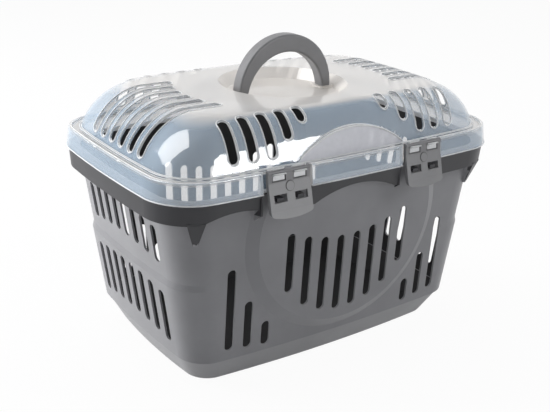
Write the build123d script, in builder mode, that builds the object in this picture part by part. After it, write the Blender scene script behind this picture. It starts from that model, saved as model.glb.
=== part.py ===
"""Small-animal carrier: a slotted tub, a hinged translucent lid, an arched handle and two clips.

All sizes are in millimetres.  The origin is on the ground under the middle of the tub,
+X runs along the length, -Y is the front with its two clips and +Z is up.
"""
import os
from math import cos, radians, sin, sqrt

from build123d import *

# Overall outline at the join of lid and tub
half_length = 240.0
half_width = 151.5
corner_radius = 57.0
side_bow = 8.5
end_bow = 6.5

# Tub
tub_wall = 2.4
floor_thickness = 3.0
foot_half_length = 181.0
foot_half_width = 109.5
foot_corner_radius = 30.0
foot_height = 35.0
foot_edge_radius = 7.0
foot_ledge = 1.6
wall_bottom_half_length = 197.0
wall_bottom_half_width = 129.5
wall_bottom_corner_radius = 36.0
wall_top_inset = 12.7
rim_top = 235.0
rim_setback = 1.5
rim_drop = 23.5
rim_draft = 1.5
rim_flange = 2.4
scallop_rise = 14.0
scallop_half_width = 58.0
corner_scallop_rise = 9.0
corner_scallop_start = 112.0
corner_scallop_end = 197.0

# Lower part of both end walls stands out, with a sloping step along its top
panel_depth = 3.0
panel_edge_low = 128.0
panel_edge_height = 7.0

# Round bulge on the front and rear walls
bulge_radius = 118.0
bulge_slope = 12.0
bulge_depth = 6.0
bulge_centre_height = 172.0

# Wall slots
slot_width = 11.0
side_slot_pitch = 23.3
end_slot_pitch = 21.8
middle_slot_pairs = 4
low_slot_tops = (72.5, 103.5, 147.5)
middle_top_centre = 369.0
middle_top_radius = 207.0
middle_bottom_centre = 169.0
middle_bottom_radius = 103.0
low_slot_bottom = 42.0
low_slot_bottom_rise = 2.5
end_slot_pairs = 4
upper_slot_top = 203.0
upper_slot_bottom = 158.5
lower_slot_top = 124.0
lower_slot_bottom = 59.0
end_slot_sag_radius = 390.0

# Corner gussets under the rim
gusset_angle = 66.0
gusset_setback_x = 4.0
gusset_setback_y = 5.0
gusset_inner_reach = 38.0
gusset_rim_reach = 53.8
gusset_low_inner_reach = 35.0
gusset_low_reach = 42.5
gusset_top_width = 20.0
gusset_bottom_width = 5.0
gusset_height = 27.0

# Lid
lid_wall = 2.0
skirt_height = 23.0
skirt_draft = 3.0
skirt_edge_radius = 1.4
ledge_groove_depth = 2.4
ledge_lip = 3.2
ledge_collar = 2.2
dome_half_length = 224.0
dome_half_width = 137.5
dome_corner_radius = 50.0
crest_half_length = 161.0
crest_half_width = 100.5
crest_corner_radius = 36.0
dome_height = 51.0
dome_straightness = 0.2
dome_steps = 5
arch_radius = 115.0
arch_foot_half_width = 139.1
arch_top_half_width = 133.9
arch_top_level = 290.0
dish_depth = 13.0
dish_floor_radius = 68.0
dish_rim_radius = 78.0

# Lid slots
lid_slot_width = 12.0
lid_slot_first = 2
lid_slot_count = 5
lid_slot_inner_end = 101.0
lid_slot_low_level = 266.5
lid_slot_arch_gap = 22.0
lid_slot_reach = 120.0
end_lid_slot_pairs = 3
end_lid_slot_inner = 134.0
end_lid_slot_bow_radius = 125.0
end_lid_slot_low_level = 264.0

# Handle
handle_half_span = 66.5
handle_foot_length = 12.5
handle_rise = 68.0
handle_top_thickness = 21.0
handle_width = 17.0
handle_edge = 2.6
boss_height = 2.5
boss_margin = 4.0
boss_corner = 3.0
tang_inset = 2.0
tang_clearance = 0.3
barb_overhang = 2.5
barb_height = 3.0

# Clips
clip_centre = 95.5
clip_half_width = 27.0
clip_foot_half_width = 27.4
clip_thickness = 2.4
pivot_reach = 148.5
pivot_level = 257.3
pivot_radius = 2.2
pivot_clearance = 0.06
clip_crease_level = 246.0
clip_crease_out = 1.2
clip_lip_level = 217.0
clip_lip_out = 8.5
clip_bottom = 208.5
clip_bottom_out = 12.0
clip_bottom_bow = 3.5
clip_corner_radius = 5.0
window_inner = 4.7
window_width = 17.4
window_bottom = 247.5
catch_hole_width = 16.5
catch_hole_bottom = 225.5
catch_hole_top = 234.0
clip_rib_depth = 2.2
clip_rib_width = 1.8
clip_rib_top_gap = 2.5
badge_radius = 5.0
badge_height = 0.6
badge_level = 241.2
lug_side_gap = 1.4
lug_wall = 1.8
lug_drop = 9.3
lug_nose_out = 1.9
lug_nose_drop = 8.6
mouth_half_height = 1.6
pocket_half_width = 31.0
pocket_back = 142.5
pocket_top = 262.5
catch_width = 8.5
catch_bottom = 226.0
catch_top = 230.0
catch_end = 154.4
guide_offset = 32.5
guide_width = 2.2
guide_top = 232.0
guide_bottom = 203.0
guide_end = 149.0
guide_foot_end = 137.5

# Rear hinge, low on the rim behind
hinge_centre = 95.5
hinge_reach = 155.0
hinge_level = 229.0
knuckle_half_length = 7.0
knuckle_side_gap = 0.8
knuckle_lift = 1.5
knuckle_height = 12.0
ear_thickness = 3.0
ear_drop = 9.0

# Sizes that follow from the ones above
rim_half_length = half_length - rim_setback
rim_half_width = half_width - rim_setback
wall_top_half_length = half_length - wall_top_inset
wall_top_half_width = half_width - wall_top_inset
wall_top_corner_radius = corner_radius - wall_top_inset
wall_height = rim_top - foot_height
rim_bottom = rim_top - rim_drop
skirt_top = rim_top + skirt_height
ledge_under = skirt_top - ledge_groove_depth - lid_wall
lid_top = skirt_top + dome_height
dish_floor = lid_top - dish_depth
handle_base = dish_floor + boss_height
foot_middle = handle_half_span - handle_foot_length / 2
tang_length = handle_foot_length - 2 * tang_inset
tang_width = handle_width - 2 * tang_inset
tang_drop = boss_height + lid_wall + tang_clearance + barb_height
window_middle = window_inner + window_width / 2
clip_top = pivot_level + pivot_radius
bore_radius = pivot_radius + pivot_clearance
ring_radius = bore_radius + lug_wall
cut_reach = 1.5 * half_width
far_side = 2 * half_length


def outline(level, length, width, radius):
    """Rounded rectangle with gently bowed sides, given by its half sizes, at one level."""
    x_corner = length - end_bow
    y_corner = width - side_bow
    with BuildSketch(Plane.XY.offset(level)) as shape:
        with BuildLine():
            ThreePointArc((-x_corner, -y_corner), (0, -width), (x_corner, -y_corner))
            ThreePointArc((x_corner, -y_corner), (length, 0), (x_corner, y_corner))
            ThreePointArc((x_corner, y_corner), (0, width), (-x_corner, y_corner))
            ThreePointArc((-x_corner, y_corner), (-length, 0), (-x_corner, -y_corner))
        make_face()
        fillet(shape.vertices(), radius)
    return shape.sketch


def ruled_solid(*sections):
    """Solid with straight sides between outlines."""
    with BuildPart() as body:
        loft(sections, ruled=True)
    return body.part


def tub_section(level, growth, stretch=0.0):
    """The wall's outline at one level of its straight taper, grown outwards."""
    share = (level - foot_height) / wall_height
    length = wall_bottom_half_length + share * (wall_top_half_length - wall_bottom_half_length)
    width = wall_bottom_half_width + share * (wall_top_half_width - wall_bottom_half_width)
    radius_step = wall_top_corner_radius - wall_bottom_corner_radius
    radius = wall_bottom_corner_radius + share * radius_step
    return outline(level, length + growth + stretch, width + growth, radius + growth)


def tub_body(growth, top):
    """Tapering wall with the step across its ends, as one solid grown outwards."""
    return ruled_solid(
        tub_section(foot_height, growth, panel_depth),
        tub_section(panel_edge_low, growth, panel_depth),
        tub_section(panel_edge_low + panel_edge_height, growth),
        tub_section(top, growth),
    )


def bulge(inset):
    """Bulge on the front wall, shrunk by an inset for the hollow behind it."""
    lean = (wall_top_half_width - wall_bottom_half_width) / wall_height
    wall_out = wall_bottom_half_width + lean * (bulge_centre_height - foot_height)
    face = Plane(origin=(0, -wall_out, bulge_centre_height), x_dir=(1, 0, 0), z_dir=(0, -1, -lean))
    foot_radius = bulge_radius + bulge_slope - inset
    reach = 1.5 * bulge_depth
    spread = 1.5 * bulge_slope
    growth = bulge_depth - inset
    limit = ruled_solid(
        tub_section(foot_height + inset, growth), tub_section(rim_top - rim_flange, growth)
    )
    with BuildPart() as body:
        with BuildSketch(face.offset(-reach)):
            Circle(foot_radius + spread)
        with BuildSketch(face.offset(reach)):
            Circle(foot_radius - spread)
        loft(ruled=True)
        add(limit, mode=Mode.INTERSECT)
    return body.part


def dome_section(angle, inset):
    """The dome's outline at one angle of its rounded profile, inset for the inside."""
    turn = radians(angle)
    bend = dome_straightness * sin(turn) + (1 - dome_straightness) * (1 - cos(turn))
    level = skirt_top + (dome_height - inset) * sin(turn)
    length = dome_half_length - inset - bend * (dome_half_length - inset - crest_half_length)
    width = dome_half_width - inset - bend * (dome_half_width - inset - crest_half_width)
    radius = dome_corner_radius - inset - bend * (dome_corner_radius - inset - crest_corner_radius)
    return outline(level, length, width, radius)


def dome(inset):
    """Smooth domed solid of the lid above its ledge."""
    with BuildPart() as body:
        loft([dome_section(90 * step / dome_steps, inset) for step in range(dome_steps + 1)])
    return body.part


def arch(inset):
    """Upright round faces that carry the wall bulges on up the front and rear of the lid."""
    length = dome_half_length - inset
    low = outline(ledge_under, length, arch_foot_half_width - inset, dome_corner_radius)
    high = outline(arch_top_level, length, arch_top_half_width - inset, dome_corner_radius)
    with BuildPart() as body:
        loft((low, high), ruled=True)
        with BuildSketch(Plane.XZ):
            with Locations((0, bulge_centre_height)):
                Circle(arch_radius - inset)
        extrude(amount=half_width, both=True, mode=Mode.INTERSECT)
    return body.part


def dish(margin):
    """Round recess in the lid's crown, grown by a wall for the solid around it."""
    with BuildPart() as body:
        with BuildSketch(Plane.XY.offset(dish_floor - margin)):
            Circle(dish_floor_radius + margin)
        with BuildSketch(Plane.XY.offset(lid_top + dish_depth)):
            Circle(2 * dish_rim_radius - dish_floor_radius + margin)
        loft(ruled=True)
    return body.part


def sag(radius, across):
    """Drop of an arc below its crown at a distance across it."""
    return radius - sqrt(radius**2 - across**2)


def mirrored(shape, plane):
    """Mirror image of a shape, left out of any solid being built."""
    return mirror(shape, about=plane, mode=Mode.PRIVATE)


def both_sides(shape, across=0.0):
    """A shape moved off the middle and repeated at its mirror place on the left."""
    moved = shape.moved(Location((across, 0, 0)))
    return [moved, mirrored(moved, Plane.YZ)]


def four_corners(shape):
    """A shape repeated in all four quarters of the plan."""
    front = both_sides(shape)
    return front + [mirrored(piece, Plane.XZ) for piece in front]


# Hollow of the tub, from the floor up past the rim
with BuildPart() as tub_hollow:
    foot_inset = tub_wall - floor_thickness / 2
    top_inset = foot_ledge + tub_wall
    hollow_floor = outline(
        floor_thickness,
        foot_half_length - foot_inset,
        foot_half_width - foot_inset,
        foot_corner_radius - foot_inset,
    )
    hollow_step = outline(
        foot_height,
        wall_bottom_half_length + panel_depth - top_inset,
        wall_bottom_half_width - top_inset,
        wall_bottom_corner_radius - top_inset,
    )
    loft((hollow_floor, hollow_step), ruled=True)
    add(tub_body(-tub_wall, rim_top + rim_flange))
    add(bulge(tub_wall))
    add(mirrored(bulge(tub_wall), Plane.XZ))

# Sloping foot with a rounded lower edge
with BuildPart() as foot:
    foot_low = outline(0, foot_half_length, foot_half_width, foot_corner_radius)
    foot_high = outline(
        foot_height,
        wall_bottom_half_length + panel_depth - foot_ledge,
        wall_bottom_half_width - foot_ledge,
        wall_bottom_corner_radius - foot_ledge,
    )
    loft((foot_low, foot_high), ruled=True)
    fillet(foot.faces().sort_by(Axis.Z)[0].edges(), foot_edge_radius)

# Rim: a flat flange with a band hanging from its edge, cut away in shallow arches
with BuildPart() as rim:
    rim_low_length = rim_half_length - rim_draft
    rim_low_width = rim_half_width - rim_draft
    band_low = outline(rim_bottom, rim_low_length, rim_low_width, corner_radius)
    band_high = outline(rim_top, rim_half_length, rim_half_width, corner_radius)
    loft((band_low, band_high), ruled=True)
    groove_low = outline(
        rim_bottom, rim_low_length - tub_wall, rim_low_width - tub_wall, corner_radius - tub_wall
    )
    groove_high = outline(
        rim_top - rim_flange,
        rim_half_length - tub_wall,
        rim_half_width - tub_wall,
        corner_radius - tub_wall,
    )
    loft((groove_low, groove_high), ruled=True, mode=Mode.SUBTRACT)
    corner_middle = (corner_scallop_start + corner_scallop_end) / 2
    for side in (1, -1):
        with BuildSketch(Plane.XZ.offset(side * wall_top_half_width)):
            with BuildLine():
                ThreePointArc(
                    (-scallop_half_width, rim_bottom),
                    (0, rim_bottom + scallop_rise),
                    (scallop_half_width, rim_bottom),
                )
                Line((scallop_half_width, rim_bottom), (-scallop_half_width, rim_bottom))
            make_face()
            with BuildLine():
                ThreePointArc(
                    (-side * corner_scallop_end, rim_bottom),
                    (-side * corner_middle, rim_bottom + corner_scallop_rise),
                    (-side * corner_scallop_start, rim_bottom),
                )
                Line(
                    (-side * corner_scallop_start, rim_bottom),
                    (-side * corner_scallop_end, rim_bottom),
                )
            make_face()
        extrude(amount=side * half_width, mode=Mode.SUBTRACT)

# Wedge under the rim at one rounded corner
with BuildPart() as gusset:
    gusset_x = half_length - corner_radius - gusset_setback_x
    gusset_y = half_width - corner_radius - gusset_setback_y
    outwards = (cos(radians(gusset_angle)), sin(radians(gusset_angle)), 0)
    corner_plane = Plane(origin=(gusset_x, gusset_y, 0), x_dir=outwards, z_dir=(0, 0, 1))
    with BuildSketch(corner_plane.offset(rim_bottom + tub_wall)):
        with Locations(((gusset_inner_reach + gusset_rim_reach) / 2, 0)):
            Rectangle(gusset_rim_reach - gusset_inner_reach, gusset_top_width)
    with BuildSketch(corner_plane.offset(rim_bottom - gusset_height)):
        with Locations(((gusset_low_inner_reach + gusset_low_reach) / 2, 0)):
            Rectangle(gusset_low_reach - gusset_low_inner_reach, gusset_bottom_width)
    loft(ruled=True)

# Notch in the rim that one front clip closes into, centred on the clip
with BuildPart() as rim_notch:
    with BuildSketch(Plane.XZ.offset(pocket_back)):
        with Locations((0, rim_top)):
            Rectangle(2 * pocket_half_width, 4 * rim_drop)
    extrude(amount=half_width - pocket_back)

# Pegs and guide ribs that one front clip closes over, centred on the clip
with BuildPart() as clip_stop:
    wall_mid_reach = wall_top_half_width - side_bow / 2
    catch_middle = (catch_bottom + catch_top) / 2
    with BuildSketch(Plane.XZ.offset(wall_mid_reach)):
        with Locations((window_middle, catch_middle), (-window_middle, catch_middle)):
            Rectangle(catch_width, catch_top - catch_bottom)
    extrude(amount=catch_end - wall_mid_reach)
    with BuildSketch(Plane.YZ.offset(guide_offset - guide_width / 2)):
        with BuildLine():
            Polyline(
                (-wall_bottom_half_width, guide_top),
                (-guide_end, guide_top),
                (-guide_end, rim_bottom),
                (-guide_foot_end, guide_bottom),
                (-wall_bottom_half_width, guide_bottom),
                (-wall_bottom_half_width, guide_top),
            )
        make_face()
    extrude(amount=guide_width)
    mirror(about=Plane.YZ)

# Two ears with the pin that one hinge knuckle of the lid turns on, centred on the hinge
with BuildPart() as hinge_ears:
    band_inside = rim_low_width - tub_wall
    ear_start = knuckle_half_length + knuckle_side_gap
    with BuildSketch(Plane.YZ.offset(ear_start)):
        with Locations((hinge_reach, hinge_level)):
            Circle(ring_radius)
        with BuildLine():
            Polyline(
                (band_inside, hinge_level + ring_radius),
                (hinge_reach, hinge_level + ring_radius),
                (hinge_reach, hinge_level - ring_radius),
                (band_inside, hinge_level - ear_drop),
                (band_inside, hinge_level + ring_radius),
            )
        make_face()
    extrude(amount=ear_thickness)
    mirror(about=Plane.YZ)
    with BuildSketch(Plane.YZ):
        with Locations((hinge_reach, hinge_level)):
            Circle(pivot_radius)
    extrude(amount=ear_start + ear_thickness, both=True)

# Tub: the slotted lower half with its floor, wall and rim
with BuildPart() as basket:
    add(foot.part)
    add(tub_body(0, rim_top))
    add(bulge(0))
    add(mirrored(bulge(0), Plane.XZ))
    add(rim.part)
    add(both_sides(rim_notch.part, clip_centre), mode=Mode.SUBTRACT)
    add(four_corners(gusset.part))
    add(both_sides(clip_stop.part, clip_centre))
    add(both_sides(hinge_ears.part, hinge_centre))
    add(tub_hollow.part, mode=Mode.SUBTRACT)
    with BuildSketch(Plane.XZ):
        for step in range(middle_slot_pairs):
            across = (step + 0.5) * side_slot_pitch
            slot_high = middle_top_centre - middle_top_radius + sag(middle_top_radius, across)
            slot_low = (
                middle_bottom_centre - middle_bottom_radius + sag(middle_bottom_radius, across)
            )
            slot_middle = (slot_high + slot_low) / 2
            with Locations((across, slot_middle), (-across, slot_middle)):
                SlotOverall(slot_high - slot_low, slot_width, rotation=90)
        for step, slot_high in enumerate(low_slot_tops):
            across = (middle_slot_pairs + step + 0.5) * side_slot_pitch
            slot_low = low_slot_bottom + step * low_slot_bottom_rise
            slot_middle = (slot_high + slot_low) / 2
            with Locations((across, slot_middle), (-across, slot_middle)):
                SlotOverall(slot_high - slot_low, slot_width, rotation=90)
    extrude(amount=far_side, both=True, mode=Mode.SUBTRACT)
    with BuildSketch(Plane.YZ):
        for step in range(end_slot_pairs):
            across = (step + 0.5) * end_slot_pitch
            drop = sag(end_slot_sag_radius, across)
            upper_middle = (upper_slot_top + upper_slot_bottom) / 2 - drop
            with Locations((across, upper_middle), (-across, upper_middle)):
                SlotOverall(upper_slot_top - upper_slot_bottom, slot_width, rotation=90)
            lower_middle = (lower_slot_top + lower_slot_bottom) / 2 - drop
            with Locations((across, lower_middle), (-across, lower_middle)):
                SlotOverall(lower_slot_top - lower_slot_bottom, slot_width, rotation=90)
    extrude(amount=far_side, both=True, mode=Mode.SUBTRACT)

# Groove that runs round the top of the lid's ledge
with BuildPart() as ledge_groove:
    groove_edge = skirt_draft + ledge_lip
    groove_outline = outline(
        skirt_top, half_length - groove_edge, half_width - groove_edge, corner_radius - groove_edge
    )
    extrude(groove_outline, amount=-ledge_groove_depth)
    collar = outline(
        skirt_top,
        dome_half_length + ledge_collar,
        dome_half_width + ledge_collar,
        dome_corner_radius + ledge_collar,
    )
    extrude(collar, amount=-ledge_groove_depth, mode=Mode.SUBTRACT)

# Hollow under the lid, less the walls round the handle's dish and the clip pockets
with BuildPart() as lid_hollow:
    skirt_inset = lid_wall + skirt_draft * (ledge_under - rim_top) / skirt_height
    skirt_inside_low = outline(
        rim_top, half_length - lid_wall, half_width - lid_wall, corner_radius - lid_wall
    )
    skirt_inside_high = outline(
        ledge_under,
        half_length - skirt_inset,
        half_width - skirt_inset,
        corner_radius - skirt_inset,
    )
    loft((skirt_inside_low, skirt_inside_high), ruled=True)
    extrude(dome_section(0, lid_wall), amount=ledge_under - skirt_top)
    add(dome(lid_wall))
    add(arch(lid_wall))
    add(dish(lid_wall), mode=Mode.SUBTRACT)
    pocket_solid_depth = half_width - pocket_back + lid_wall
    pocket_solid_middle = half_width - pocket_solid_depth / 2
    with BuildSketch(Plane.XY.offset(rim_top)):
        with Locations((clip_centre, -pocket_solid_middle), (-clip_centre, -pocket_solid_middle)):
            Rectangle(2 * (pocket_half_width + lid_wall), pocket_solid_depth)
    extrude(amount=skirt_height, mode=Mode.SUBTRACT)

# Room for one clip in the lid's skirt, centred on the clip
with BuildPart() as pocket_cut:
    pocket_front = half_width + rim_flange
    with BuildSketch(Plane.XY.offset(rim_top - rim_flange)):
        with Locations((0, -(pocket_back + pocket_front) / 2)):
            Rectangle(2 * pocket_half_width, pocket_front - pocket_back)
    extrude(amount=pocket_top - rim_top + rim_flange)

# Two lugs that reach out of the pocket and hold the clip's pivot bar
with BuildPart() as lugs:
    lug_length = window_width - 2 * lug_side_gap
    lug_root = lid_wall / 2 - pocket_back
    with BuildSketch(Plane.YZ.offset(window_middle - lug_length / 2)):
        with Locations((-pivot_reach, pivot_level)):
            Circle(ring_radius)
        with BuildLine():
            Polyline(
                (lug_root, pivot_level - lug_drop),
                (lug_root, skirt_top),
                (-pivot_reach, pivot_level + ring_radius),
                (-pivot_reach - lug_nose_out, pivot_level - lug_nose_drop),
                (lug_root, pivot_level - lug_drop),
            )
        make_face()
    extrude(amount=lug_length)
    mirror(about=Plane.YZ)

# Bore of the lugs, open upwards in front so that the bar snaps in from there
with BuildPart() as lug_bore:
    mouth_height = mouth_half_height + 2 * ring_radius
    mouth_middle = pivot_level - mouth_half_height + mouth_height / 2
    with BuildSketch(Plane.YZ):
        with Locations((-pivot_reach, pivot_level)):
            Circle(bore_radius)
        with Locations((-pivot_reach - ring_radius, mouth_middle)):
            Rectangle(2 * ring_radius, mouth_height)
    extrude(amount=window_inner + window_width, both=True)

# Knuckle that hangs from the lid's skirt between two ears, centred on the hinge
with BuildPart() as knuckle:
    knuckle_root = half_width - skirt_draft - lid_wall / 4
    with BuildSketch(Plane.YZ):
        with Locations((hinge_reach, hinge_level)):
            Circle(ring_radius)
        with BuildLine():
            Polyline(
                (hinge_reach - ring_radius, hinge_level),
                (hinge_reach - ring_radius, rim_top + knuckle_lift),
                (knuckle_root, rim_top + knuckle_lift),
                (knuckle_root, rim_top + knuckle_height),
                (hinge_reach + ring_radius, hinge_level),
                (hinge_reach - ring_radius, hinge_level),
            )
        make_face()
    extrude(amount=knuckle_half_length, both=True)

# Bore of the knuckle with the mouth that snaps down over the pin
with BuildPart() as knuckle_bore:
    with BuildSketch(Plane.YZ):
        with Locations((hinge_reach, hinge_level)):
            Circle(bore_radius)
        with Locations((hinge_reach, hinge_level - ring_radius)):
            Rectangle(2 * mouth_half_height, 2 * ring_radius)
    extrude(amount=knuckle_half_length + knuckle_side_gap / 2, both=True)

# Lid slots over the front and rear, upright cuts that stop at a straight inner row
with BuildPart() as side_vents:
    with BuildSketch(Plane.XZ):
        for step in range(lid_slot_first, lid_slot_first + lid_slot_count):
            across = (step + 0.5) * side_slot_pitch
            arch_rise = sqrt(max((arch_radius + lid_slot_arch_gap) ** 2 - across**2, 0.0))
            slot_low = max(lid_slot_low_level, bulge_centre_height + arch_rise)
            slot_middle = slot_low + lid_slot_reach / 2
            with Locations((across, slot_middle), (-across, slot_middle)):
                SlotOverall(lid_slot_reach, lid_slot_width, rotation=90)
    extrude(amount=half_width, both=True)
    with BuildSketch():
        for step in range(lid_slot_first, lid_slot_first + lid_slot_count):
            across = (step + 0.5) * side_slot_pitch
            slot_middle = lid_slot_inner_end + lid_slot_reach / 2
            with Locations(
                (across, slot_middle),
                (-across, slot_middle),
                (across, -slot_middle),
                (-across, -slot_middle),
            ):
                SlotOverall(lid_slot_reach, lid_slot_width, rotation=90)
    extrude(amount=far_side, mode=Mode.INTERSECT)

# Lid slots over both ends, in a bowed row
with BuildPart() as end_vents:
    with BuildSketch(Plane.YZ):
        for step in range(end_lid_slot_pairs):
            across = (step + 0.5) * end_slot_pitch
            slot_middle = end_lid_slot_low_level + lid_slot_reach / 2
            with Locations((across, slot_middle), (-across, slot_middle)):
                SlotOverall(lid_slot_reach, lid_slot_width, rotation=90)
    extrude(amount=half_length, both=True)
    with BuildSketch():
        for step in range(end_lid_slot_pairs):
            across = (step + 0.5) * end_slot_pitch
            inner_end = end_lid_slot_inner - sag(end_lid_slot_bow_radius, across)
            slot_middle = inner_end + lid_slot_reach / 2
            with Locations(
                (slot_middle, across),
                (slot_middle, -across),
                (-slot_middle, across),
                (-slot_middle, -across),
            ):
                SlotOverall(lid_slot_reach, lid_slot_width)
    extrude(amount=far_side, mode=Mode.INTERSECT)

# Lid: a domed translucent shell with a skirt, slots and seats for the clips
with BuildPart() as lid:
    skirt_foot = outline(rim_top, half_length, half_width, corner_radius)
    skirt_head = outline(
        skirt_top, half_length - skirt_draft, half_width - skirt_draft, corner_radius - skirt_draft
    )
    loft((skirt_foot, skirt_head), ruled=True)
    fillet(lid.faces().sort_by(Axis.Z)[-1].edges(), skirt_edge_radius)
    add(dome(0))
    add(arch(0))
    add(ledge_groove.part, mode=Mode.SUBTRACT)
    add(dish(0), mode=Mode.SUBTRACT)
    with BuildSketch(Plane.XY.offset(dish_floor - lid_wall / 2)):
        with Locations((foot_middle, 0), (-foot_middle, 0)):
            RectangleRounded(
                handle_foot_length + 2 * boss_margin, handle_width + 2 * boss_corner, boss_corner
            )
    extrude(amount=boss_height + lid_wall / 2)
    add(lid_hollow.part, mode=Mode.SUBTRACT)
    with BuildSketch(Plane.XY.offset(handle_base)):
        with Locations((foot_middle, 0), (-foot_middle, 0)):
            Rectangle(tang_length + 2 * tang_clearance, tang_width + 2 * tang_clearance)
    extrude(amount=-tang_drop, mode=Mode.SUBTRACT)
    add(side_vents.part, mode=Mode.SUBTRACT)
    add(end_vents.part, mode=Mode.SUBTRACT)
    add(both_sides(pocket_cut.part, clip_centre), mode=Mode.SUBTRACT)
    add(both_sides(lugs.part, clip_centre))
    add(both_sides(lug_bore.part, clip_centre), mode=Mode.SUBTRACT)
    add(both_sides(knuckle.part, hinge_centre))
    add(both_sides(knuckle_bore.part, hinge_centre), mode=Mode.SUBTRACT)

# Handle: a crescent arch on two feet that snap through the lid
with BuildPart() as handle:
    inner_half_span = handle_half_span - handle_foot_length
    with BuildSketch(Plane.XZ):
        with BuildLine():
            ThreePointArc(
                (-handle_half_span, handle_base),
                (0, handle_base + handle_rise),
                (handle_half_span, handle_base),
            )
            Line((handle_half_span, handle_base), (inner_half_span, handle_base))
            ThreePointArc(
                (inner_half_span, handle_base),
                (0, handle_base + handle_rise - handle_top_thickness),
                (-inner_half_span, handle_base),
            )
            Line((-inner_half_span, handle_base), (-handle_half_span, handle_base))
        make_face()
    extrude(amount=handle_width / 2, both=True)
    fillet(handle.edges().filter_by(GeomType.CIRCLE), handle_edge)
    with BuildSketch(Plane.XY.offset(handle_base)):
        with Locations((foot_middle, 0), (-foot_middle, 0)):
            Rectangle(tang_length, tang_width)
    extrude(amount=-tang_drop)
    with BuildSketch(Plane.XY.offset(handle_base - tang_drop)):
        with Locations((foot_middle, 0), (-foot_middle, 0)):
            Rectangle(tang_length, tang_width + 2 * barb_overhang)
    extrude(amount=barb_height)


def clip_section(outer, inner):
    """Side view of the clip's plate between two depths off its middle surface."""
    levels = (clip_top, clip_crease_level, clip_lip_level, clip_bottom)
    reaches = (0.0, clip_crease_out, clip_lip_out, clip_bottom_out)
    front = [(-pivot_reach - out - outer, level) for out, level in zip(reaches, levels)]
    back = [(-pivot_reach - out + inner, level) for out, level in zip(reaches, levels)]
    with BuildSketch(Plane.YZ) as shape:
        with BuildLine():
            Polyline(*front, *reversed(back), front[0])
        make_face()
    return shape.sketch


def clip_face(margin):
    """Front view of the clip: straight sides tapering to a bowed lower edge."""
    corner_level = clip_bottom + clip_bottom_bow
    with BuildSketch(Plane.XZ) as shape:
        with BuildLine():
            Polyline(
                (-clip_foot_half_width, corner_level),
                (-clip_half_width, window_bottom),
                (-clip_half_width, clip_top),
                (clip_half_width, clip_top),
                (clip_half_width, window_bottom),
                (clip_foot_half_width, corner_level),
            )
            ThreePointArc(
                (clip_foot_half_width, corner_level),
                (0, clip_bottom),
                (-clip_foot_half_width, corner_level),
            )
        make_face()
        fillet(shape.vertices().group_by(Axis.Y)[0], clip_corner_radius)
        if margin:
            offset(amount=-margin, mode=Mode.REPLACE)
    return shape.sketch


# Recess behind the clip's plate, inside the rib along its edge
with BuildPart() as clip_recess:
    extrude(
        clip_section(-clip_thickness / 2, clip_thickness / 2 + 2 * clip_rib_depth),
        amount=clip_half_width,
        both=True,
    )
    extrude(clip_face(clip_rib_width), amount=cut_reach, both=True, mode=Mode.INTERSECT)
    with BuildSketch(Plane.XZ):
        with Locations((0, window_bottom - clip_rib_top_gap + clip_top)):
            Rectangle(4 * clip_half_width, 2 * clip_top)
    extrude(amount=cut_reach, mode=Mode.SUBTRACT)

# Plain round badge standing off the clip's face
with BuildPart() as badge:
    extrude(
        clip_section(clip_thickness / 2 + badge_height, 0), amount=badge_radius, both=True
    )
    with BuildSketch(Plane.XZ):
        with Locations((0, badge_level)):
            Circle(badge_radius)
    extrude(amount=cut_reach, mode=Mode.INTERSECT)

# Clip: a creased plate with two windows for the lugs and two holes for the pegs
with BuildPart() as clip:
    extrude(
        clip_section(clip_thickness / 2, clip_thickness / 2 + clip_rib_depth),
        amount=clip_half_width,
        both=True,
    )
    extrude(clip_face(0), amount=cut_reach, both=True, mode=Mode.INTERSECT)
    add(clip_recess.part, mode=Mode.SUBTRACT)
    window_top = clip_top + clip_rib_depth
    window_height = window_top - window_bottom
    hole_height = catch_hole_top - catch_hole_bottom
    with BuildSketch(Plane.XZ):
        for side in (-1, 1):
            with Locations((side * window_middle, window_bottom + window_height / 2)):
                Rectangle(window_width, window_height)
            with Locations((side * window_middle, catch_hole_bottom + hole_height / 2)):
                Rectangle(catch_hole_width, hole_height)
    extrude(amount=cut_reach, mode=Mode.SUBTRACT)
    add(badge.part)
    with BuildSketch(Plane.YZ):
        with Locations((-pivot_reach, pivot_level)):
            Circle(pivot_radius)
    extrude(amount=clip_half_width, both=True)

with BuildPart() as front_clip_left:
    add(clip.part.moved(Location((-clip_centre, 0, 0))))

with BuildPart() as front_clip_right:
    add(clip.part.moved(Location((clip_centre, 0, 0))))

basket.part.label = "basket"
lid.part.label = "lid"
handle.part.label = "handle"
front_clip_left.part.label = "front_clip_left"
front_clip_right.part.label = "front_clip_right"

os.makedirs("parts", exist_ok=True)
export_step(basket.part, "parts/basket.step")
export_step(lid.part, "parts/lid.step")
export_step(handle.part, "parts/handle.step")
export_step(front_clip_left.part, "parts/front_clip_left.step")
export_step(front_clip_right.part, "parts/front_clip_right.step")
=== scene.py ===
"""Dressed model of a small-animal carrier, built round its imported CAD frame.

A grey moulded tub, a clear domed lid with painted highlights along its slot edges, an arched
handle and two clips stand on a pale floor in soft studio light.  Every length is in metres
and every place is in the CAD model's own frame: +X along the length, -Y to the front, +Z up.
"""
import logging
from dataclasses import dataclass
from enum import Enum, IntEnum
from math import cos, hypot, pi, radians, sin
from typing import Any, Callable, Iterable

import bmesh
import bpy
from mathutils import Matrix, Vector


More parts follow.
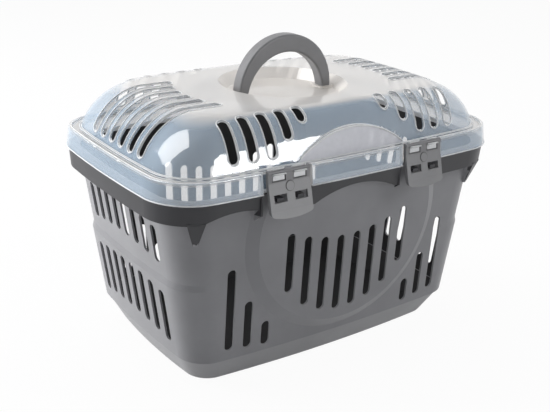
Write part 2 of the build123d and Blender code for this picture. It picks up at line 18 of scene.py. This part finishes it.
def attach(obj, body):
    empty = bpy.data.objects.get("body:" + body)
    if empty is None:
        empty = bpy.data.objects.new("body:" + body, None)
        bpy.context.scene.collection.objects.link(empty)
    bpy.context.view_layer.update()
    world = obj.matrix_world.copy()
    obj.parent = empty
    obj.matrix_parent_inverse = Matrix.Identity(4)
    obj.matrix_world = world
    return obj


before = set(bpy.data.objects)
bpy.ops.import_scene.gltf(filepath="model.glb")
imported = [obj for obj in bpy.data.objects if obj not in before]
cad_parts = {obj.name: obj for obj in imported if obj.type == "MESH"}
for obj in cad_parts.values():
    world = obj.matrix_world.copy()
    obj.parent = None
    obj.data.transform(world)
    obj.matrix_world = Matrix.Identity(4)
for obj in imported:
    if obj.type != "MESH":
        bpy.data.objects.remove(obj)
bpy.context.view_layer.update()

LOG = logging.getLogger("pet_carrier")
MM = 0.001


class Body(Enum):
    """Bodies of the moving carrier that pieces ride on."""

    TOP = "top"
    FRONT_CLIP_LEFT = "front_clip_left"
    FRONT_CLIP_RIGHT = "front_clip_right"


class Slot(Enum):
    """Names of the CAD model's material slots."""

    LID = "lid_plastic"
    CLIP = "clip_plastic"


def linear(code: str) -> tuple[float, float, float, float]:
    """Turns an sRGB hex colour into a linear one.

    Args:
        code: six hex digits after a hash.

    Returns:
        Linear red, green, blue and an alpha of one.
    """
    parts = [int(code[start:start + 2], 16) / 255 for start in (1, 3, 5)]
    red, green, blue = [part / 12.92 if part <= 0.04045 else ((part + 0.055) / 1.055) ** 2.4
                        for part in parts]
    return red, green, blue, 1.0


def put(tree: bpy.types.NodeTree, kind: str, feeds: dict[Any, Any] | None = None,
        **settings: Any) -> bpy.types.Node:
    """Adds a node with its settings and what feeds it.

    Args:
        tree: the node tree that gets the node.
        kind: the node's type name without its ShaderNode prefix.
        feeds: for an input's name or number, a value or another node's output.
        settings: the node's own properties.

    Returns:
        The new node.
    """
    node = tree.nodes.new("ShaderNode" + kind)
    for name, value in settings.items():
        setattr(node, name, value)
    for key, value in (feeds or {}).items():
        socket = node.inputs[key]
        if isinstance(value, bpy.types.NodeSocket):
            tree.links.new(value, socket)
        else:
            socket.default_value = value
    return node


def new_material(name: str) -> tuple[bpy.types.Material, bpy.types.NodeTree, bpy.types.Node]:
    """Makes an empty node material.

    Args:
        name: the material's name.

    Returns:
        The material, its node tree and its output node.
    """
    material = bpy.data.materials.new(name)
    material.use_nodes = True
    material.node_tree.nodes.clear()
    return material, material.node_tree, put(material.node_tree, "OutputMaterial")


@dataclass(frozen=True)
class MouldedPolypropylene:
    """Grey polypropylene with a metallic pigment, injection moulded against a fine satin grain.

    The pigment gives it a soft sheen, the grain breaks up its highlights and the flow of the
    melt leaves faint broad clouds of tone.

    Attributes:
        name: the material's name.
        colour: its colour as an sRGB hex code.
        gloss: strength of its mirror-like part, 0.5 being plain polypropylene's.
        roughness: how much its highlights spread.
        grain_size: size of the grain's bumps, drawn coarser than real so that it shows.
        grain_depth: height of the grain's bumps.
        cloud_size: size of the clouds of tone.
    """

    name: str
    colour: str
    gloss: float = 0.3
    roughness: float = 0.40
    grain_size: float = 0.9 * MM
    grain_depth: float = 0.02 * MM
    cloud_size: float = 60 * MM

    def build(self) -> bpy.types.Material:
        """Builds the material."""
        material, tree, output = new_material(self.name)
        place = put(tree, "TexCoord").outputs["Object"]
        cloud = put(tree, "TexNoise", {"Vector": place, "Scale": 1 / self.cloud_size,
                                       "Detail": 3.0, "Roughness": 0.55})
        tone = put(tree, "MapRange", {"Value": cloud.outputs[0], "From Min": 0.3, "From Max": 0.7,
                                      "To Min": 0.93, "To Max": 1.07})
        colour = put(tree, "Mix", {"Factor": 1.0, 6: linear(self.colour), 7: tone.outputs[0]},
                     data_type="RGBA", blend_type="MULTIPLY").outputs[2]
        grain = put(tree, "TexNoise", {"Vector": place, "Scale": 1 / self.grain_size,
                                       "Detail": 2.0})
        rough = put(tree, "MapRange", {"Value": grain.outputs[0], "To Min": self.roughness - 0.05,
                                       "To Max": self.roughness + 0.05})
        bump = put(tree, "Bump", {"Height": grain.outputs[0], "Strength": 0.5,
                                  "Distance": self.grain_depth})
        shader = put(tree, "BsdfPrincipled", {
            "Base Color": colour, "Roughness": rough.outputs[0], "Specular IOR Level": self.gloss,
            "IOR": 1.49, "Normal": bump.outputs[0]})
        tree.links.new(shader.outputs[0], output.inputs[0])
        return material


@dataclass(frozen=True)
class ClearPlastic:
    """Clear sheet with a faint haze, moulded against polished steel.

    The haze scatters blue light, so the sheet looks blue over a dark background and neutral
    over a pale one.  Its crown is painted light: faces that look up are drawn whiter and
    milkier than its steep sides.  Its reflections are sharp and strongest at a grazing angle.

    Attributes:
        name: the material's name.
        colour: colour of the haze on steep faces.
        crown_painted_light_colour: colour of the haze on level faces, whiter as painted light.
        haze: share of the light that the haze scatters on steep faces.
        crown_painted_light_haze: the same on level faces, milkier as painted light.
        passed: tint of the light that passes, which lacks what the haze scatters.
        roughness: how much its reflections spread.
        head_on: share of the light that it mirrors head on, from both its skins.
        grazing: the same at a grazing angle.
        crown_tilts: upward part of the normal where the crown begins and where it is full.
    """

    name: str
    colour: str
    crown_painted_light_colour: str
    haze: float
    crown_painted_light_haze: float
    passed: tuple[float, float, float, float] = (1.0, 0.972, 0.945, 1.0)
    roughness: float = 0.06
    head_on: float = 0.07
    grazing: float = 0.6
    crown_tilts: tuple[float, float] = (0.86, 0.99)

    def build(self) -> bpy.types.Material:
        """Builds the material."""
        material, tree, output = new_material(self.name)
        normal = put(tree, "TexCoord").outputs["Normal"]
        upright = put(tree, "SeparateXYZ", {0: normal}).outputs[2]
        level = put(tree, "Math", {0: upright}, operation="ABSOLUTE").outputs[0]
        # Painted light: faces that look up get a whiter colour and more haze than steep ones.
        crown = put(tree, "MapRange", {"Value": level, "From Min": self.crown_tilts[0],
                                       "From Max": self.crown_tilts[1]})
        colour = put(tree, "Mix", {"Factor": crown.outputs[0], 6: linear(self.colour),
                                   7: linear(self.crown_painted_light_colour)}, data_type="RGBA").outputs[2]
        haze = put(tree, "MapRange", {"Value": crown.outputs[0], "To Min": self.haze,
                                      "To Max": self.crown_painted_light_haze})
        scattered = put(tree, "BsdfPrincipled", {"Base Color": colour, "Roughness": 0.5,
                                                 "IOR": 1.49})
        through = put(tree, "BsdfTransparent", {"Color": self.passed})
        body = put(tree, "MixShader", {0: haze.outputs[0], 1: through.outputs[0],
                                       2: scattered.outputs[0]})
        gloss = put(tree, "BsdfAnisotropic", {"Color": (1, 1, 1, 1), "Roughness": self.roughness})
        facing = put(tree, "LayerWeight", {"Blend": 0.5}).outputs[1]
        steep = put(tree, "Math", {0: facing, 1: 5.0}, operation="POWER").outputs[0]
        mirrored = put(tree, "MapRange", {"Value": steep, "To Min": self.head_on,
                                          "To Max": self.grazing})
        mixed = put(tree, "MixShader", {0: mirrored.outputs[0], 1: body.outputs[0],
                                        2: gloss.outputs[0]})
        tree.links.new(mixed.outputs[0], output.inputs[0])
        return material


@dataclass(frozen=True)
class PaintedLightPlastic:
    """Near-white plastic that paints light on the lid: highlights along its edges, reflection
    on its arches and light on its lugs.

    Attributes:
        name: the material's name.
        colour: its colour as an sRGB hex code.
        alpha: how much of what lies behind it hides.
        roughness: how much its highlights spread.
        mottle_size: size of the faint spots of tone.
    """

    name: str
    colour: str
    alpha: float
    roughness: float = 0.15
    mottle_size: float = 6 * MM

    def build(self) -> bpy.types.Material:
        """Builds the material."""
        material, tree, output = new_material(self.name)
        place = put(tree, "TexCoord").outputs["Object"]
        mottle = put(tree, "TexNoise", {"Vector": place, "Scale": 1 / self.mottle_size,
                                        "Detail": 2.0})
        tone = put(tree, "MapRange", {"Value": mottle.outputs[0], "From Min": 0.3,
                                      "From Max": 0.7, "To Min": 0.94, "To Max": 1.0})
        colour = put(tree, "Mix", {"Factor": 1.0, 6: linear(self.colour), 7: tone.outputs[0]},
                     data_type="RGBA", blend_type="MULTIPLY").outputs[2]
        shader = put(tree, "BsdfPrincipled", {
            "Base Color": colour, "Roughness": self.roughness, "IOR": 1.49, "Alpha": self.alpha})
        tree.links.new(shader.outputs[0], output.inputs[0])
        return material


def round_curve(name: str, radius: float) -> bpy.types.Curve:
    """Makes an empty curve whose lines are round tubes.

    Args:
        name: the curve's name.
        radius: the tubes' radius.

    Returns:
        The curve, still without lines.
    """
    curve = bpy.data.curves.new(name, "CURVE")
    curve.dimensions = "3D"
    curve.bevel_depth = radius
    curve.bevel_resolution = 2
    curve.use_fill_caps = True
    return curve


def add_line(curve: bpy.types.Curve, places: list[Vector], closed: bool) -> None:
    """Adds a line to a curve.

    Args:
        curve: the curve.
        places: the line's points in order.
        closed: whether its last point joins its first.
    """
    spline = curve.splines.new("POLY")
    spline.points.add(len(places) - 1)
    for point, place in zip(spline.points, places):
        point.co = (*place, 1.0)
    spline.use_cyclic_u = closed


def add_piece(curve: bpy.types.Curve, material: bpy.types.Material, body: Body,
              slot: Slot) -> None:
    """Makes a mesh piece of a curve and its thickness.

    Args:
        curve: the curve, whose name the piece takes.
        material: what the piece is made of.
        body: the body that it rides on.
        slot: the slot of its material; not used.
    """
    holder = bpy.data.objects.new(curve.name, curve)
    bpy.context.scene.collection.objects.link(holder)
    shaped = holder.evaluated_get(bpy.context.evaluated_depsgraph_get())
    mesh = bpy.data.meshes.new_from_object(shaped)
    bpy.data.objects.remove(holder)
    mesh.materials.clear()
    mesh.materials.append(material)
    mesh.shade_smooth()
    piece = bpy.data.objects.new(curve.name, mesh)
    bpy.context.scene.collection.objects.link(piece)
    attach(piece, body.value)
    LOG.info("%s: %d lines, %d faces", curve.name, len(curve.splines), len(mesh.polygons))


def paint(node: str, finishes: list[Any], choose: Callable[[Vector, Vector], int]) -> None:
    """Gives a CAD node its materials, face by face.

    Args:
        node: the node's name.
        finishes: the finishes that its faces share out.
        choose: for a face's middle and normal, tells the number of its finish.
    """
    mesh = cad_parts[node].data
    mesh.materials.clear()
    for finish in finishes:
        mesh.materials.append(finish.build())
    for face in mesh.polygons:
        face.material_index = choose(face.center, face.normal)
    LOG.info("%s dressed in %s", node, ", ".join(finish.name for finish in finishes))


class TubFace(IntEnum):
    """Kinds of the tub's faces, in the order of their finishes."""

    WALL = 0
    RIM = 1
    INSIDE = 2
    FLANGE = 3


@dataclass
class Tub:
    """The slotted tub, with its darker rim, painted shade on its inside and painted light on the
    ledge under the lid.

    Attributes:
        wall, rim, inside, flange: the finishes of its faces.  The rim's is its darker tone with
        painted shade, the inside's is painted shade and the flange's is painted light.
        half_length, half_width, corner: the outline inside the rim, and its corners' radius.
        end_bow, side_bow: how far the outline's ends and sides bow outwards.
        rim_bottom: lowest level of the rim.
        flange_level: level of the ledge under the lid.
        floor_level: height up to which faces that look up are the floor's.
        inner_half_length, inner_half_width: the hollow's outline, whose corners a power rounds.
        squareness: that power.
        gusset_place, gusset_angle: where the line of a gusset starts, and its direction.
        gusset_half_width: half the gusset's width.
        gusset_heights: its lowest and highest levels.
        wall_reach, wall_lean: how far the wall reaches along that line at the ledge's level,
            and how much less for each metre below it.
    """

    wall: MouldedPolypropylene = MouldedPolypropylene("satin_grey_polypropylene", "#909093")
    # Darker than the wall: partly the rim's own tone, partly painted shade. Its corner gussets
    # share it.
    rim: MouldedPolypropylene = MouldedPolypropylene("rim_grey_and_painted_shade_polypropylene", "#404043")
    # Painted shade: the hollow's faces are drawn near black.
    inside: MouldedPolypropylene = MouldedPolypropylene("inside_painted_shade_polypropylene", "#2e2e30",
                                                        roughness=0.6)
    # Painted light: the ledge's upward faces are drawn lighter than the wall.
    flange: MouldedPolypropylene = MouldedPolypropylene("flange_painted_light_polypropylene", "#a9abae")
    half_length: float = 0.2335
    half_width: float = 0.1447
    corner: float = 0.049
    end_bow: float = 0.0065
    side_bow: float = 0.0085
    rim_bottom: float = 0.183
    flange_level: float = 0.2342
    floor_level: float = 0.034
    inner_half_length: float = 0.225
    inner_half_width: float = 0.1365
    squareness: int = 7
    gusset_place: tuple[float, float] = (0.179, 0.0895)
    gusset_angle: float = radians(66)
    gusset_half_width: float = 0.0105
    gusset_heights: tuple[float, float] = (0.1835, 0.2115)
    wall_reach: float = 0.0508
    wall_lean: float = 0.152

    def build(self) -> None:
        """Dresses the tub."""
        paint("basket", [self.wall, self.rim, self.inside, self.flange], self.choose)

    def choose(self, middle: Vector, normal: Vector) -> TubFace:
        """Tells the kind of one face.

        Args:
            middle: the face's middle.
            normal: its normal.

        Returns:
            Whether it belongs to the wall, the rim, the inside or the ledge.
        """
        looks_up = normal.z > 0.5
        # Painted light: upward faces of the ledge under the lid get the lighter finish.
        if middle.z > self.flange_level and looks_up:
            return TubFace.FLANGE
        # The rim and the gussets under it get the darker rim finish, which is partly painted
        # shade.
        on_rim = middle.z > self.rim_bottom and self.reach(middle) > self.corner
        if on_rim or self.on_gusset(middle):
            return TubFace.RIM
        # Painted shade: the hollow's floor and the walls that face inwards get the near-black
        # finish.
        if middle.z < self.floor_level and looks_up:
            return TubFace.INSIDE
        away = Vector(((middle.x / self.inner_half_length) ** self.squareness,
                       (middle.y / self.inner_half_width) ** self.squareness, 0.0))
        looks_in = away.length and normal.dot(away.normalized()) < -0.3
        return TubFace.INSIDE if looks_in else TubFace.WALL

    def on_gusset(self, middle: Vector) -> bool:
        """True where the corner gussets under the rim stand out from the wall."""
        out = Vector((abs(middle.x) - self.gusset_place[0], abs(middle.y) - self.gusset_place[1]))
        outwards = Vector((cos(self.gusset_angle), sin(self.gusset_angle)))
        wall = self.wall_reach - self.wall_lean * (self.flange_level - middle.z)
        return (self.gusset_heights[0] < middle.z < self.gusset_heights[1]
                and abs(out.cross(outwards)) < self.gusset_half_width
                and out.dot(outwards) > wall)

    def reach(self, middle: Vector) -> float:
        """Tells how far a place lies outside the straight sides of the rim's inner outline."""
        across, deep = abs(middle.x), abs(middle.y)
        end_bow = self.end_bow * (deep / self.half_width) ** 2
        side_bow = self.side_bow * (across / self.half_length) ** 2
        out_x = across - self.half_length + self.corner + end_bow
        out_y = deep - self.half_width + self.corner + side_bow
        return hypot(max(out_x, 0.0), max(out_y, 0.0))


@dataclass
class LidEdges:
    """One kind of the lid's sharp edges, along which highlights are painted.

    Attributes:
        name: name of the piece that holds their lines of painted highlight.
        radius: radius of the lines.
        chosen: tells whether a place lies on such an edge.
        aside: how far the lines are drawn away from the edge, into the skin beside it.
    """

    name: str
    radius: float
    chosen: Callable[[Vector], bool]
    aside: float = 0.0


class LidFace(IntEnum):
    """Kinds of the lid's faces, in the order of their finishes."""

    CLEAR = 0
    ARCH = 1
    LUG = 2
    DISH = 3


@dataclass
class Lid:
    """The clear domed lid, with painted reflection on its arches, painted light on its lugs and
    painted highlights along its edges.

    Attributes:
        clear, painted_arch_reflection, lug, dish, edge: the finishes of its faces and of its
        lines of painted highlight.
        skirt_top: level of the ledge round the dome's foot.
        skirt_foot: level up to which an edge belongs to the skirt's foot.
        arch_centre, arch_radius: level of the middle of the arches, and their radius.
        arch_depth: distance of the arches' flats from the middle of the lid.
        clip_centre: distance of a clip from the middle of the lid.
        lug_half_width, lug_front, lug_bottom: where the clips' lugs stand.
        pocket_walls: nearest and farthest distance of a clip's side walls from its middle.
        pocket_front: where these walls begin.
        dish_radius, dish_bottom: radius of the dish, and its lowest level.
        slots_from: least distance of the slots from the lid's middle.
        sharp: least angle between two faces at a sharp edge, in radians.
        centre: a place inside the lid, to tell its outer skin.
        outward: least share of the outer skin's normal that points away from that place.
    """

    # Painted light on its crown: level faces are drawn whiter and milkier than its sides.
    clear: ClearPlastic = ClearPlastic("clear_plastic", "#c3e0fa", "#f6f6f6", 0.29, 0.47)
    dish: ClearPlastic = ClearPlastic("milky_dish", "#fbf8f4", "#fbf8f4", 0.55, 0.55)
    # Painted reflection: the arches' flat faces are drawn pale and nearly opaque.
    painted_arch_reflection: PaintedLightPlastic = PaintedLightPlastic("arch_painted_reflection", "#f3f4fb", 0.78, roughness=0.4)
    # Painted light: the lugs and the pockets' side walls are drawn near white.
    lug: PaintedLightPlastic = PaintedLightPlastic("lug_painted_light", "#f6f7f8", 0.9)
    # Painted highlight: near-white lines laid along the lid's sharp edges.
    edge: PaintedLightPlastic = PaintedLightPlastic("edge_painted_highlight", "#f8f9fa", 0.9)
    skirt_top: float = 0.258
    skirt_foot: float = 0.2352
    arch_centre: float = 0.172
    arch_radius: float = 0.115
    arch_depth: float = 0.131
    clip_centre: float = 0.0955
    lug_half_width: float = 0.024
    lug_front: float = -0.1435
    lug_bottom: float = 0.244
    pocket_walls: tuple[float, float] = (0.029, 0.035)
    pocket_front: float = -0.1400
    dish_radius: float = 0.0785
    dish_bottom: float = 0.29
    slots_from: float = 0.093
    sharp: float = 0.5
    centre: tuple[float, float, float] = (0.0, 0.0, 0.2)
    outward: float = 0.15

    def build(self) -> None:
        """Dresses the lid and lays its lines of painted highlight."""
        paint("lid", [self.clear, self.painted_arch_reflection, self.lug, self.dish], self.choose)
        material = self.edge.build()
        kinds = (
            LidEdges("slot_beads", 0.8 * MM, self.on_slot, aside=0.6 * MM),
            LidEdges("arch_lines", 1.0 * MM, self.on_arch),
            LidEdges("ledge_lines", 0.7 * MM, self.on_ledge),
            LidEdges("skirt_lines", 0.8 * MM, self.on_skirt_foot),
        )
        for kind in kinds:
            self.lines(kind, material)

    def choose(self, middle: Vector, normal: Vector) -> LidFace:
        """Tells the kind of one face.

        Args:
            middle: the face's middle.
            normal: its normal.

        Returns:
            Whether it is clear or belongs to an arch, to a lug or its pocket, or to the dish.
        """
        if hypot(middle.x, middle.y) < self.dish_radius and middle.z > self.dish_bottom:
            return LidFace.DISH
        beside_clip = abs(abs(middle.x) - self.clip_centre)
        # Painted light on the lugs and on the pockets' side walls.
        if (middle.y < self.lug_front and middle.z > self.lug_bottom
                and beside_clip < self.lug_half_width):
            return LidFace.LUG
        if (middle.y < self.pocket_front and abs(normal.x) > 0.9
                and self.pocket_walls[0] < beside_clip < self.pocket_walls[1]):
            return LidFace.LUG
        # Painted reflection on the arches' flat faces.
        on_arch = (self.past_arch(middle) < 1 * MM and abs(middle.y) > self.arch_depth
                   and middle.z > self.skirt_top - 1 * MM and abs(normal.y) > 0.9)
        return LidFace.ARCH if on_arch else LidFace.CLEAR

    def past_arch(self, place: Vector) -> float:
        """Tells how far a place lies outside the arches' round outline."""
        return hypot(place.x, place.z - self.arch_centre) - self.arch_radius

    def on_slot(self, place: Vector) -> bool:
        """True on the lid's slots."""
        return (place.z > self.skirt_top + 3 * MM and self.past_arch(place) > 10 * MM
                and hypot(place.x, place.y) > self.slots_from)

    def on_arch(self, place: Vector) -> bool:
        """True on the round edges where the arches leave the dome."""
        return (place.z > self.skirt_top + 0.5 * MM and abs(self.past_arch(place)) < 2 * MM
                and abs(place.y) > 100 * MM)

    def on_ledge(self, place: Vector) -> bool:
        """True on the ledge round the dome's foot."""
        return abs(place.z - self.skirt_top + 1 * MM) < 1.8 * MM

    def on_skirt_foot(self, place: Vector) -> bool:
        """True on the skirt's lower outer edge."""
        return place.z < self.skirt_foot

    def lines(self, kind: LidEdges, material: bpy.types.Material) -> None:
        """Lays lines of painted highlight along one kind of the lid's sharp edges.

        Args:
            kind: which edges, and how thick their lines are.
            material: what the lines are made of.
        """
        shape = bmesh.new()
        shape.from_mesh(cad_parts["lid"].data)
        bmesh.ops.remove_doubles(shape, verts=shape.verts, dist=0.02 * MM)
        shift: dict[bmesh.types.BMVert, Vector] = {}
        for edge in shape.edges:
            if not all(kind.chosen(vert.co) for vert in edge.verts):
                continue
            inner = self.inner_face(edge)
            if inner is None:
                continue
            edge.tag = True
            for vert in edge.verts:
                shift[vert] = shift.get(vert, Vector()) - inner.normal
        curve = round_curve(kind.name, kind.radius)
        for path, closed in chains([edge for edge in shape.edges if edge.tag]):
            add_line(curve, [vert.co + kind.aside * shift[vert].normalized() for vert in path],
                     closed)
        shape.free()
        add_piece(curve, material, Body.TOP, Slot.LID)

    def inner_face(self, edge: bmesh.types.BMEdge) -> bmesh.types.BMFace | None:
        """Tells which face turns inwards at a sharp edge of the lid's outer skin.

        Args:
            edge: any edge of the lid.

        Returns:
            That face, or nothing where the edge isn't sharp or isn't on the outer skin.
        """
        if len(edge.link_faces) != 2 or edge.calc_face_angle() < self.sharp:
            return None
        centre = Vector(self.centre)
        skin = max(edge.link_faces, key=lambda face: face.normal.dot(
            (face.calc_center_median() - centre).normalized()))
        if skin.normal.dot((edge.verts[0].co - centre).normalized()) < self.outward:
            return None
        return next(face for face in edge.link_faces if face != skin)


def chains(edges: Iterable[bmesh.types.BMEdge]) -> list[tuple[list[bmesh.types.BMVert], bool]]:
    """Joins edges into lines.

    Args:
        edges: the edges, in any order.

    Returns:
        The vertices of each line in order, and whether it closes on itself.
    """
    at: dict[bmesh.types.BMVert, list[bmesh.types.BMEdge]] = {}
    for edge in edges:
        for vert in edge.verts:
            at.setdefault(vert, []).append(edge)
    left = {edge for found in at.values() for edge in found}
    starts = sorted(at, key=lambda vert: (len(at[vert]) == 2, vert.index))
    found = []
    for start in starts:
        for first in at[start]:
            if first not in left:
                continue
            path, edge = [start], first
            while edge is not None:
                left.discard(edge)
                path.append(edge.other_vert(path[-1]))
                ahead = [after for after in at[path[-1]] if after in left]
                edge = ahead[0] if len(at[path[-1]]) == 2 and ahead else None
            closed = path[-1] is start and len(path) > 3
            found.append((path[:-1] if closed else path, closed))
    return found


@dataclass
class CarryHandle:
    """The arched handle on the lid."""

    finish: MouldedPolypropylene = MouldedPolypropylene("handle_grey_polypropylene", "#828284")

    def build(self) -> None:
        """Dresses the handle."""
        paint("handle", [self.finish], lambda middle, normal: 0)


@dataclass
class Clips:
    """The two clips that hold the lid down at the front, each with a dark ring of painted shade
    round its badge.

    Attributes:
        finish, badge_groove_shade: the finishes of the clips and of the rings, whose dark colour
        is painted shade of the groove round each badge.
        centre: distance of a clip from the middle of the lid.
        badge_level: level of the badge's middle.
        ring_radius, ring_thickness: radius of a ring, and of the tube that it is made of.
        ring_steps: how many points a ring has.
        before: a place in front of the clips, from which their front is looked for.
    """

    finish: MouldedPolypropylene = MouldedPolypropylene("clip_grey_polypropylene", "#868688")
    # Painted shade: a dark ring drawn where the groove round each badge lies in shade.
    badge_groove_shade: MouldedPolypropylene = MouldedPolypropylene("badge_groove_painted_shade", "#505052")
    centre: float = 0.0955
    badge_level: float = 0.2412
    ring_radius: float = 5.3 * MM
    ring_thickness: float = 0.4 * MM
    ring_steps: int = 48
    before: float = -0.3

    def build(self) -> None:
        """Dresses the clips and lays their rings."""
        material = self.badge_groove_shade.build()
        for body, side in ((Body.FRONT_CLIP_LEFT, -1), (Body.FRONT_CLIP_RIGHT, 1)):
            paint(body.value, [self.finish], lambda middle, normal: 0)
            self.ring(body, side, material)

    def ring(self, body: Body, side: int, material: bpy.types.Material) -> None:
        """Lays the ring round one clip's badge, on the clip's front.

        Args:
            body: the clip.
            side: -1 for the left clip, 1 for the right one.
            material: what the ring is made of.
        """
        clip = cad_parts[body.value]
        places = []
        for step in range(self.ring_steps):
            angle = 2 * pi * step / self.ring_steps
            start = Vector((side * self.centre + self.ring_radius * cos(angle), self.before,
                            self.badge_level + self.ring_radius * sin(angle)))
            places.append(clip.ray_cast(start, Vector((0, 1, 0)))[1])
        curve = round_curve(body.value + "_ring", self.ring_thickness)
        add_line(curve, places, closed=True)
        add_piece(curve, material, body, Slot.CLIP)


@dataclass(frozen=True)
class Softbox:
    """One rectangular lamp that faces the carrier.

    Attributes:
        name: the lamp's name.
        place: where it hangs.
        size: its width and height.
        power: its power in watts.
        mirrored: whether it shows only in reflections, and otherwise it only lights.
    """

    name: str
    place: tuple[float, float, float]
    size: tuple[float, float]
    power: float
    mirrored: bool = False

    def build(self) -> None:
        """Hangs the lamp."""
        light = bpy.data.lights.new(self.name, "AREA")
        light.shape = "RECTANGLE"
        light.size, light.size_y = self.size
        light.energy = self.power
        lamp = bpy.data.objects.new(self.name, light)
        aim = Vector((0, 0, 0.2)) - Vector(self.place)
        turn = aim.to_track_quat("-Z", "Y").to_matrix().to_4x4()
        lamp.matrix_world = Matrix.Translation(self.place) @ turn
        lamp.visible_diffuse = not self.mirrored
        lamp.visible_glossy = self.mirrored
        bpy.context.scene.collection.objects.link(lamp)


@dataclass
class Studio:
    """Pale floor, soft light and the camera at the photograph's angle.

    Attributes:
        floor_size, floor_colour: the floor's length and colour.
        plain_share: how much of the floor the camera sees as plain white.
        fill_colour, fill_strength: the even light that the world gives.
        eye: the camera's place.
        right, up, forward: the camera's directions.
        lens, sensor, shift: its focal length and sensor width in millimetres, and its shift.
    """

    floor_size: float = 12.0
    floor_colour: str = "#f4f4f4"
    plain_share: float = 0.95
    fill_colour: str = "#eef1f6"
    fill_strength: float = 0.2
    eye: tuple[float, float, float] = (-0.6281, -0.8707, 0.5684)
    right: tuple[float, float, float] = (0.82272, -0.56769, 0.02924)
    up: tuple[float, float, float] = (0.18081, 0.3101, 0.93335)
    forward: tuple[float, float, float] = (0.53892, 0.7626, -0.35777)
    lens: float = 59.54
    sensor: float = 36.0
    shift: tuple[float, float] = (0.0083, -0.0137)

    def build(self) -> None:
        """Builds the floor, world, lamps and camera."""
        self.floor()
        self.world()
        for lamp in (
            Softbox("left_softbox", (-1.6, 1.7, 0.5), (1.2, 1.2), 74),
            Softbox("right_softbox", (1.9, -0.95, 1.0), (1.2, 1.2), 17),
            Softbox("top_softbox", (0.0, 0.7, 2.4), (2.0, 2.0), 30),
            Softbox("corner_card", (-1.43, 0.83, 1.80), (1.7, 2.0), 52, mirrored=True),
            Softbox("front_card", (0.75, -1.90, 0.60), (0.95, 1.0), 28, mirrored=True),
        ):
            lamp.build()
        self.camera()

    @staticmethod
    def seen(tree: bpy.types.NodeTree) -> bpy.types.NodeSocket:
        """Builds the nodes that are one for camera, glossy and transmission rays."""
        ray = put(tree, "LightPath").outputs
        first = put(tree, "Math", {0: ray["Is Camera Ray"], 1: ray["Is Glossy Ray"]},
                    operation="MAXIMUM")
        return put(tree, "Math", {0: first.outputs[0], 1: ray["Is Transmission Ray"]},
                   operation="MAXIMUM").outputs[0]

    def floor(self) -> None:
        """Lays the floor, mostly plain white to the camera, with a faint shadow."""
        mesh = bpy.data.meshes.new("floor")
        shape = bmesh.new()
        bmesh.ops.create_grid(shape, x_segments=1, y_segments=1, size=self.floor_size / 2)
        shape.to_mesh(mesh)
        shape.free()
        ground = bpy.data.objects.new("floor", mesh)
        ground.location = (0, 0, -0.0005)
        bpy.context.scene.collection.objects.link(ground)
        material, tree, output = new_material("pale_floor")
        lit = put(tree, "BsdfDiffuse", {"Color": linear(self.floor_colour)})
        plain = put(tree, "Emission", {"Color": (1, 1, 1, 1), "Strength": 1.0})
        share = put(tree, "Math", {0: self.seen(tree), 1: self.plain_share}, operation="MULTIPLY")
        mixed = put(tree, "MixShader", {0: share.outputs[0], 1: lit.outputs[0],
                                        2: plain.outputs[0]})
        tree.links.new(mixed.outputs[0], output.inputs[0])
        mesh.materials.append(material)

    def world(self) -> None:
        """Sets the white background and the even light that fills the studio."""
        world = bpy.data.worlds.new("studio")
        world.use_nodes = True
        tree = world.node_tree
        tree.nodes.clear()
        plain = put(tree, "Background", {"Color": (1, 1, 1, 1), "Strength": 1.0})
        fill = put(tree, "Background", {"Color": linear(self.fill_colour),
                                        "Strength": self.fill_strength})
        mixed = put(tree, "MixShader", {0: self.seen(tree), 1: fill.outputs[0],
                                        2: plain.outputs[0]})
        output = put(tree, "OutputWorld")
        tree.links.new(mixed.outputs[0], output.inputs[0])
        bpy.context.scene.world = world

    def camera(self) -> None:
        """Sets the camera that took the photograph."""
        lens = bpy.data.cameras.new("photo_camera")
        lens.lens, lens.sensor_width = self.lens, self.sensor
        lens.shift_x, lens.shift_y = self.shift
        lens.clip_end = 50
        camera = bpy.data.objects.new("photo_camera", lens)
        turn = Matrix((self.right, self.up, [-part for part in self.forward])).transposed()
        camera.matrix_world = Matrix.Translation(self.eye) @ turn.to_4x4()
        bpy.context.scene.collection.objects.link(camera)
        bpy.context.scene.camera = camera


def main() -> None:
    """Builds the carrier's pieces in order, then the studio."""
    logging.basicConfig(level=logging.INFO, format="%(message)s")
    bpy.context.scene.view_settings.view_transform = "Standard"
    for part in (Tub(), Lid(), CarryHandle(), Clips(), Studio()):
        part.build()


if __name__ == "__main__":
    main()
